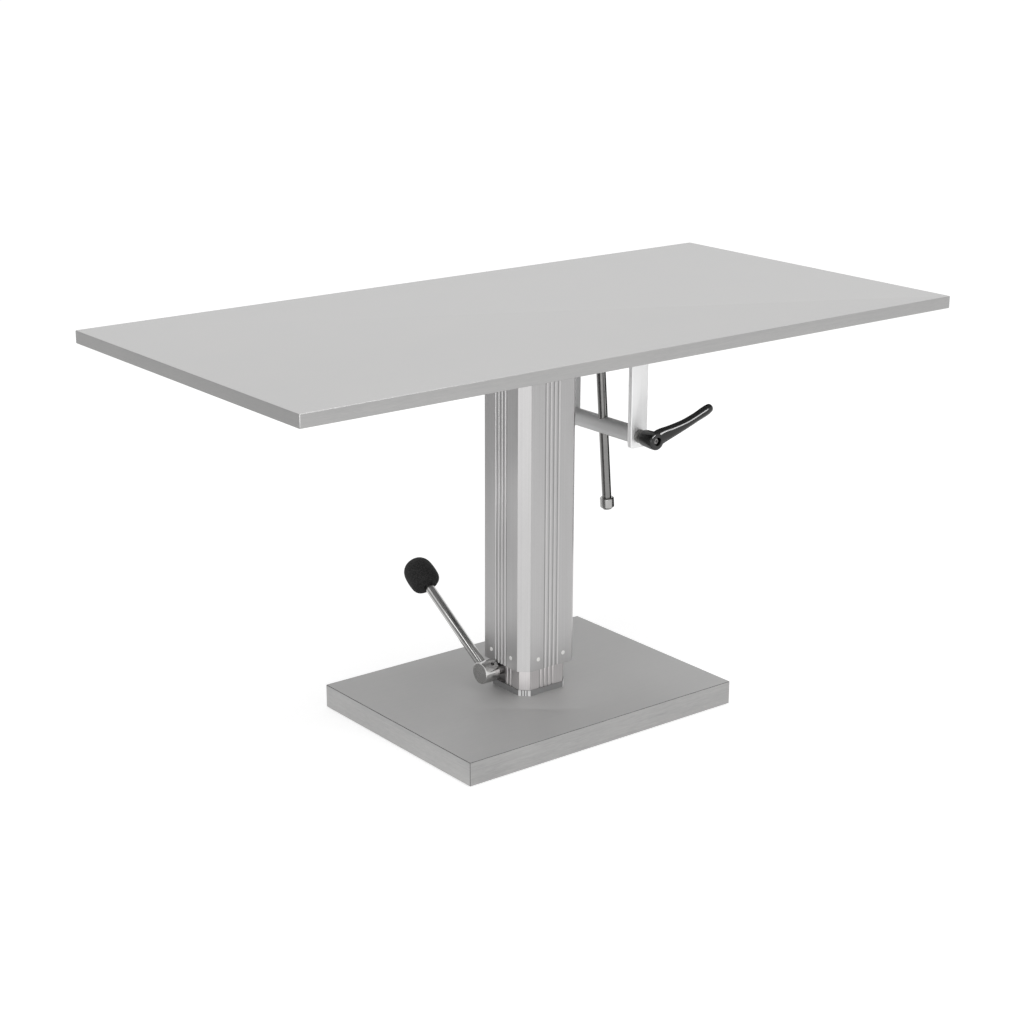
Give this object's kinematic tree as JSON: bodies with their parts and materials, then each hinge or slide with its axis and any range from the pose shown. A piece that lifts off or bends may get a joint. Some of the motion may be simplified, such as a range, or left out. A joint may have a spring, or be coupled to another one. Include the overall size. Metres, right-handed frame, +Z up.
{
  "type": "veterinary exam table",
  "caption": "Stainless examination table whose top tilts on a telescoping square column, raised by a foot pump and locked by a clamp lever.",
  "frame": {"origin": "on the floor, under the middle of the column, the base and the level top", "axes": "+X along the top, from its hinge end to its clamp end; +Y across it, to the pump lever's side; +Z up"},
  "size_m": [1.3, 0.65, 0.69],
  "materials": {
    "stainless_sheet": "folded stainless sheet, fine brushed",
    "column_aluminium": "extruded, satin anodised",
    "clamp_aluminium": "machined, matt",
    "polished_steel": "turned and polished",
    "bare_steel": "machined, oiled",
    "dark_steel": "blackened",
    "painted_steel": "satin dark grey paint",
    "bronze": "sintered, oiled",
    "white_plastic": "moulded, matt",
    "grey_plastic": "moulded, matt",
    "black_plastic": "moulded, satin gloss",
    "black_rubber": "moulded, matt",
    "board": "raw board"
  },
  "bodies": {
    "base": {"base_cover": "stainless_sheet", "base_plate": "bare_steel", "cover_bearer_left": "bare_steel", "cover_bearer_right": "bare_steel", "foot_pad_1": "black_rubber", "foot_pad_2": "black_rubber", "foot_pad_3": "black_rubber", "foot_pad_4": "black_rubber", "inner_column": "column_aluminium", "column_foot_frame": "grey_plastic", "upper_glide": "white_plastic", "pump_block": "painted_steel", "ram_barrel": "bare_steel", "ram_gland": "bare_steel", "axle_bearing_plate": "bare_steel", "axle_bush": "bare_steel", "inner_bush": "bronze", "plunger_spring": "dark_steel"},
    "lever": {"pump_axle": "bare_steel", "lever_hub": "polished_steel", "hub_set_screw": "dark_steel", "lever_rod": "polished_steel", "lever_knob": "black_rubber", "crank_arm": "bare_steel"},
    "plunger": {"pump_plunger": "polished_steel"},
    "lift": {"outer_column": "column_aluminium", "lower_glide_1": "white_plastic", "lower_glide_2": "white_plastic", "lower_glide_3": "white_plastic", "lower_glide_4": "white_plastic", "head_plate": "painted_steel", "side_rail_near": "painted_steel", "side_rail_far": "painted_steel", "rest_buffer_near": "black_rubber", "rest_buffer_far": "black_rubber", "hinge_axle": "bare_steel", "clamp_leg_near": "clamp_aluminium", "clamp_leg_far": "clamp_aluminium", "ram_piston": "bare_steel", "piston_rod": "polished_steel"},
    "top": {"top_sheet": "stainless_sheet", "top_board": "board", "hinge_lug_near": "painted_steel", "hinge_lug_far": "painted_steel", "rod_clevis": "painted_steel", "clevis_pin": "bare_steel"},
    "swivel": {"cross_bar": "clamp_aluminium"},
    "rod": {"tilt_rod": "polished_steel", "stop_collar": "polished_steel"},
    "clamp": {"clamp_insert": "dark_steel", "handle_screw": "dark_steel"},
    "handle": {"clamp_handle": "black_plastic"}
  },
  "joints": [
    {"name": "lift", "type": "slide", "parent": "base", "child": "lift", "axis": [0, 0, 1], "range_m": [0, 0.3]},
    {"name": "tilt", "type": "hinge", "parent": "lift", "child": "top", "pos_m": [-0.155, 0, 0.6455], "axis": [0, -1, 0], "range_deg": [0, 22]},
    {"name": "bar_swivel", "type": "hinge", "parent": "lift", "child": "swivel", "pos_m": [0.16, 0, 0.475], "axis": [0, -1, 0], "range_deg": [0, 3]},
    {"name": "rod_slide", "type": "slide", "parent": "swivel", "child": "rod", "axis": [-0.0774, 0, 0.997], "range_m": [0, 0.115]},
    {"name": "clamp_turn", "type": "hinge", "parent": "swivel", "child": "clamp", "pos_m": [0.16, -0.1, 0.475], "axis": [0, -1, 0], "range_deg": [0, 110]},
    {"name": "handle_pull", "type": "slide", "parent": "clamp", "child": "handle", "axis": [0, -1, 0], "range_m": [0, 0.005], "stiffness_N_per_m": 800, "springref_m": -0.001},
    {"name": "pump_lever", "type": "hinge", "parent": "base", "child": "lever", "pos_m": [-0.077, 0.01774, 0.076], "axis": [-1, 0, 0], "range_deg": [-12, 32], "stiffness_Nm_per_rad": 12, "springref_deg": -2.43},
    {"name": "pump_stroke", "type": "slide", "parent": "base", "child": "plunger", "axis": [0, 0, 1], "range_m": [-0.0045, 0.0112], "deforming": ["plunger_spring"]}
  ],
  "couplings": [
    {"joint": "bar_swivel", "follows": "tilt", "ratio": 0.13345},
    {"joint": "rod_slide", "follows": "tilt", "m_per_rad": 0.29809},
    {"joint": "pump_stroke", "follows": "pump_lever", "m_per_rad": 0.0193}
  ]
}
